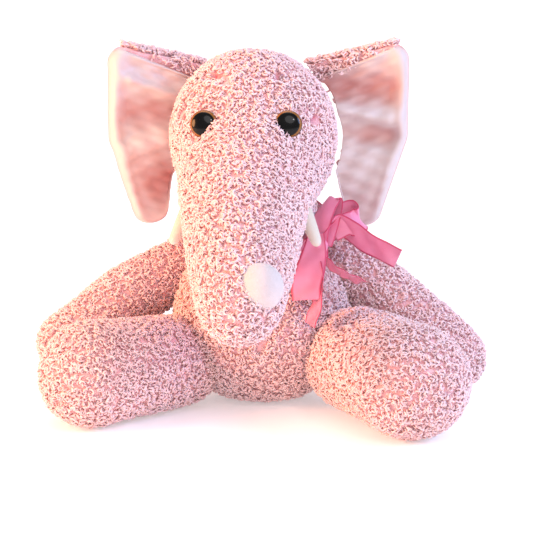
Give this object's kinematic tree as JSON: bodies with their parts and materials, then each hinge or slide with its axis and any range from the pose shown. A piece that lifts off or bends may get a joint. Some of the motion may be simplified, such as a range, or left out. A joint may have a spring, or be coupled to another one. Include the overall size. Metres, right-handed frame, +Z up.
{
  "type": "stuffed elephant",
  "caption": "Seated stuffed elephant in curly pink plush, with satin-lined ears, felt tusks, a forward trunk with a velour tip and a satin neck ribbon.",
  "frame": {"origin": "middle of the flat of the seat, on the plane the toy sits on", "axes": "+Z up, the toy faces -Y, +X towards the toy's own left"},
  "size_m": [0.2232, 0.2083, 0.1801],
  "materials": {
    "pink_plush": "curly pile",
    "white_velour": "short pile",
    "cream_felt": "felt",
    "ear_satin": "satin",
    "ribbon_satin": "satin",
    "amber_eye": "gloss",
    "black_eye": "gloss",
    "white_plastic": "matte",
    "fibre_fill": "loose fibre",
    "bean_cloth": "plain weave",
    "label_cloth": "satin tape"
  },
  "bodies": {
    "body": {"body_cover": "pink_plush", "body_stuffing": "fibre_fill", "seat_bean_pouch": "bean_cloth", "care_label": "label_cloth", "neck_ribbon": "ribbon_satin", "ribbon_bow": "ribbon_satin"},
    "head": {"head_cover": "pink_plush", "head_stuffing": "fibre_fill", "tusk_left": "cream_felt", "tusk_right": "cream_felt", "eye_left_dome": "amber_eye", "eye_right_dome": "amber_eye", "eye_left_base": "black_eye", "eye_right_base": "black_eye", "eye_left_washer": "white_plastic", "eye_right_washer": "white_plastic"},
    "trunk": {"trunk_cover": "pink_plush", "trunk_stuffing": "fibre_fill", "trunk_tip_patch": "white_velour"},
    "ear_left": {"ear_left_back": "pink_plush", "ear_left_lining": "ear_satin"},
    "ear_right": {"ear_right_back": "pink_plush", "ear_right_lining": "ear_satin"},
    "arm_left": {"arm_left_cover": "pink_plush", "arm_left_stuffing": "fibre_fill"},
    "arm_right": {"arm_right_cover": "pink_plush", "arm_right_stuffing": "fibre_fill"},
    "leg_left": {"leg_left_cover": "pink_plush", "leg_left_stuffing": "fibre_fill"},
    "leg_right": {"leg_right_cover": "pink_plush", "leg_right_stuffing": "fibre_fill"},
    "tail": {"tail": "pink_plush"}
  },
  "joints": [
    {"name": "neck_turn", "type": "hinge", "parent": "body", "child": "head", "pos_m": [-0.002, -0.006, 0.09104], "axis": [-0.0451, -0.3159, 0.9477], "range_deg": [-8, 8], "stiffness_Nm_per_rad": 0.6},
    {"name": "trunk_bend", "type": "hinge", "parent": "head", "child": "trunk", "pos_m": [-0.00785, -0.064, 0.10754], "axis": [0.9962, -0.0872, 0], "range_deg": [-12, 8], "stiffness_Nm_per_rad": 0.6},
    {"name": "ear_left_flap", "type": "hinge", "parent": "head", "child": "ear_left", "pos_m": [0.03747, -0.00958, 0.11833], "axis": [-0.2746, 0.024, 0.9613], "range_deg": [-10, 12], "stiffness_Nm_per_rad": 0.05},
    {"name": "ear_right_flap", "type": "hinge", "parent": "head", "child": "ear_right", "pos_m": [-0.04303, -0.00253, 0.11833], "axis": [0.2746, -0.024, 0.9613], "range_deg": [-15, 5], "stiffness_Nm_per_rad": 0.05},
    {"name": "arm_left_lift", "type": "hinge", "parent": "body", "child": "arm_left", "pos_m": [0.042, 0.00766, 0.066], "axis": [0, -1, 0], "range_deg": [0, 25], "stiffness_Nm_per_rad": 0.3},
    {"name": "arm_right_lift", "type": "hinge", "parent": "body", "child": "arm_right", "pos_m": [-0.042, 0.00991, 0.066], "axis": [0, 1, 0], "range_deg": [0, 25], "stiffness_Nm_per_rad": 0.3},
    {"name": "leg_left_swing", "type": "hinge", "parent": "body", "child": "leg_left", "pos_m": [0.046, -0.034, 0.027], "axis": [0, 0, -1], "range_deg": [0, 16], "stiffness_Nm_per_rad": 0.3},
    {"name": "leg_right_swing", "type": "hinge", "parent": "body", "child": "leg_right", "pos_m": [-0.042, -0.022, 0.024], "axis": [0, 0, 1], "range_deg": [0, 16], "stiffness_Nm_per_rad": 0.3},
    {"name": "tail_wag", "type": "hinge", "parent": "body", "child": "tail", "pos_m": [0, 0.04583, 0.021], "axis": [0, 0, 1], "range_deg": [-20, 20], "stiffness_Nm_per_rad": 0.02}
  ]
}
